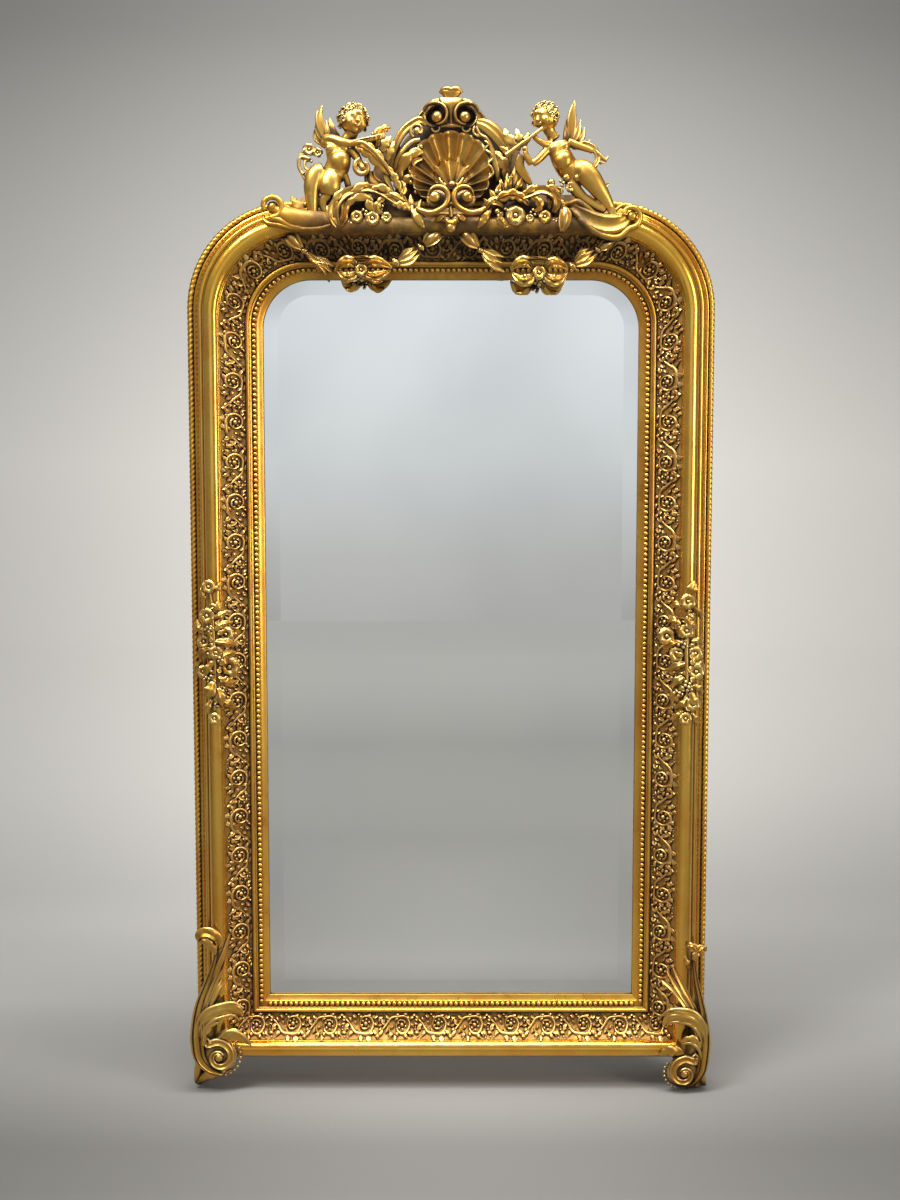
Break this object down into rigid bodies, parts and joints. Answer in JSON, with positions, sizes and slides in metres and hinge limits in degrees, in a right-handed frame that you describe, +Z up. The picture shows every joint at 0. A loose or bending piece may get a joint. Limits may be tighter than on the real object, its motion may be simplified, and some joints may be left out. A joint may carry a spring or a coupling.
{
  "type": "overmantel mirror",
  "caption": "Gilded overmantel mirror: arched bevelled plate in run mouldings, pierced crest with shell, scrolls and playing children, scrolled lower corners.",
  "frame": {"origin": "middle of the footprint, at the level of the flats under the two corner scrolls", "axes": "+Z up, +X to the viewer's right, -Y out of the front of the mirror, +Y towards the wall"},
  "size_m": [1.0486, 0.1276, 1.9853],
  "materials": {
    "gilding": "gold leaf over red-brown bole on carved softwood and gesso, rubbed on the high points, dark in the hollows",
    "burnished_gilding": "burnished gold leaf on run gesso, smooth and bright",
    "silvered_glass": "polished bevelled plate, silvered behind",
    "softwood": "sawn softwood toned yellow-brown, unpolished",
    "backboards": "thin planed softwood boards, dusty and darkened",
    "strap_brass": "dull lacquered brass plate",
    "ring_iron": "bent iron wire, dull grey"
  },
  "bodies": {
    "mirror": {"acanthus_scroll_left": "gilding", "acanthus_scroll_right": "gilding", "backboard_1": "backboards", "backboard_2": "backboards", "backboard_3": "backboards", "backboard_4": "backboards", "base_volutes": "gilding", "carcass_corner_left": "softwood", "carcass_corner_right": "softwood", "carcass_rail_bottom": "softwood", "carcass_rail_top": "softwood", "carcass_stile_left": "softwood", "carcass_stile_right": "softwood", "cherub_left": "gilding", "cherub_right": "gilding", "corner_scroll_left": "gilding", "corner_scroll_right": "gilding", "crest_board": "softwood", "crown_volutes": "gilding", "flute_and_foliage": "gilding", "frieze_bottom": "gilding", "frieze_left": "gilding", "frieze_right": "gilding", "frieze_top": "gilding", "garland_left": "gilding", "garland_right": "gilding", "hanger_strap_left": "strap_brass", "hanger_strap_right": "strap_brass", "laurel_spray_left": "gilding", "laurel_spray_right": "gilding", "mirror_plate": "silvered_glass", "plinth_scroll_left": "gilding", "plinth_scroll_right": "gilding", "retaining_strip_bottom": "softwood", "retaining_strip_left": "softwood", "retaining_strip_right": "softwood", "retaining_strip_top": "softwood", "roll_moulding_bottom": "burnished_gilding", "roll_moulding_left": "burnished_gilding", "roll_moulding_right": "burnished_gilding", "roll_moulding_top": "burnished_gilding", "rope_edge_left": "gilding", "rope_edge_right": "gilding", "rope_edge_top": "gilding", "shell": "gilding", "shoulder_scroll_left": "gilding", "shoulder_scroll_right": "gilding", "side_flowers_left": "gilding", "side_flowers_right": "gilding", "slip_bottom": "gilding", "slip_left": "gilding", "slip_right": "gilding", "slip_top": "gilding", "violin_and_bow": "gilding", "wings_left": "gilding", "wings_right": "gilding"},
    "hanger_ring_left": {"hanger_ring_left": "ring_iron"},
    "hanger_ring_right": {"hanger_ring_right": "ring_iron"}
  },
  "joints": [
    {"name": "hanger_ring_left_swing", "type": "hinge", "parent": "mirror", "child": "hanger_ring_left", "pos_m": [-0.45565, 0.05878, 1.4453], "axis": [1, 0, 0], "range_deg": [0, 170]},
    {"name": "hanger_ring_right_swing", "type": "hinge", "parent": "mirror", "child": "hanger_ring_right", "pos_m": [0.45565, 0.05878, 1.4453], "axis": [1, 0, 0], "range_deg": [0, 170]}
  ]
}
